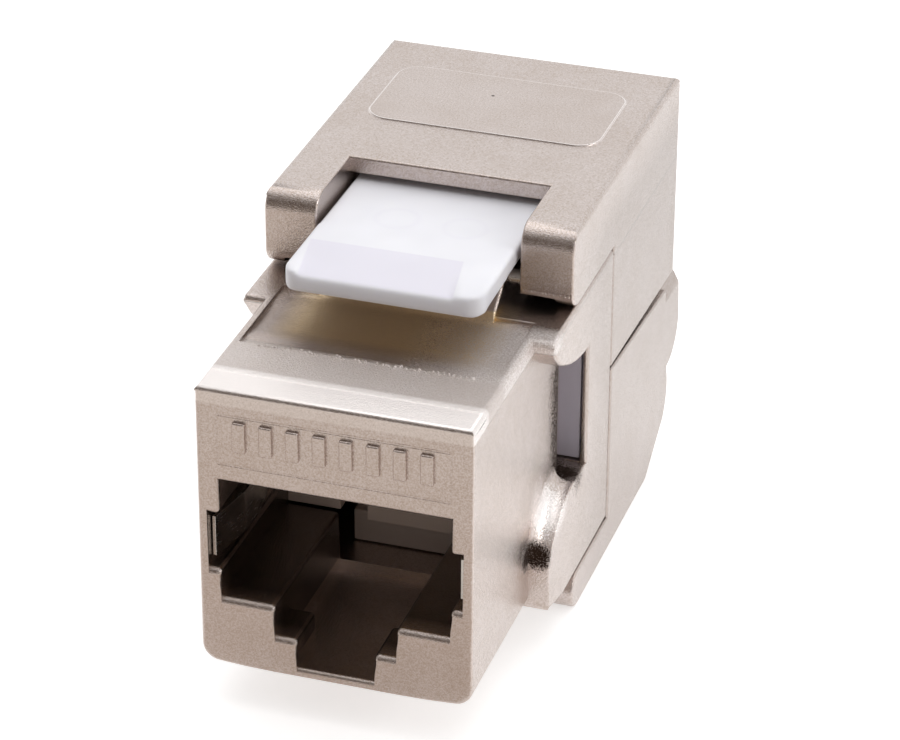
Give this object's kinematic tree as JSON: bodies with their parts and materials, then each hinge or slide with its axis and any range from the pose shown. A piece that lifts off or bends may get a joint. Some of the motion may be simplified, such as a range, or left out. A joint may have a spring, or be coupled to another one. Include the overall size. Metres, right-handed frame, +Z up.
{
  "type": "keystone jack",
  "caption": "Shielded modular jack for a keystone opening: die-cast port housing with a press-down plastic latch lever and two hinged rear covers that close round the cable.",
  "frame": {"origin": "middle of the overall box at its bottom, on the flat under the lower cover", "axes": "+Z up with the latch lever on top, +Y from the plug port at the front to the cable exit at the back, +X to the right seen from the front"},
  "size_m": [0.0168, 0.0354, 0.0232],
  "materials": {
    "nickel_casting": "satin, fine sandy grain",
    "pin_steel": "polished",
    "spring_steel": "bright",
    "white_plastic": "satin moulded",
    "lilac_plastic": "satin moulded",
    "board": "matte",
    "gold": "bright",
    "tin": "satin"
  },
  "bodies": {
    "housing": {"circuit_board": "board", "contact_1": "gold", "contact_2": "gold", "contact_3": "gold", "contact_4": "gold", "contact_5": "gold", "contact_6": "gold", "contact_7": "gold", "contact_8": "gold", "front_housing": "nickel_casting", "ground_spring_left": "spring_steel", "ground_spring_right": "spring_steel", "idc_block": "white_plastic", "idc_terminal_1": "tin", "idc_terminal_2": "tin", "idc_terminal_3": "tin", "idc_terminal_4": "tin", "idc_terminal_5": "tin", "idc_terminal_6": "tin", "idc_terminal_7": "tin", "idc_terminal_8": "tin", "insert_body": "lilac_plastic", "lower_hinge_pin": "pin_steel", "upper_hinge_pin": "pin_steel", "wire_manager": "white_plastic"},
    "upper_cover": {"upper_cover": "nickel_casting"},
    "lower_cover": {"lower_cover": "nickel_casting"},
    "latch": {"latch_lever": "white_plastic"}
  },
  "joints": [
    {"name": "upper_cover_hinge", "type": "hinge", "parent": "housing", "child": "upper_cover", "pos_m": [0, -0.00358, 0.01983], "axis": [1, 0, 0], "range_deg": [0, 80]},
    {"name": "lower_cover_hinge", "type": "hinge", "parent": "housing", "child": "lower_cover", "pos_m": [0, -0.00263, 0.00105], "axis": [-1, 0, 0], "range_deg": [0, 80]},
    {"name": "latch_press", "type": "hinge", "parent": "housing", "child": "latch", "pos_m": [0, 0.00047, 0.02063], "axis": [1, 0, 0], "range_deg": [0, 6.5], "stiffness_Nm_per_rad": 0.5}
  ]
}
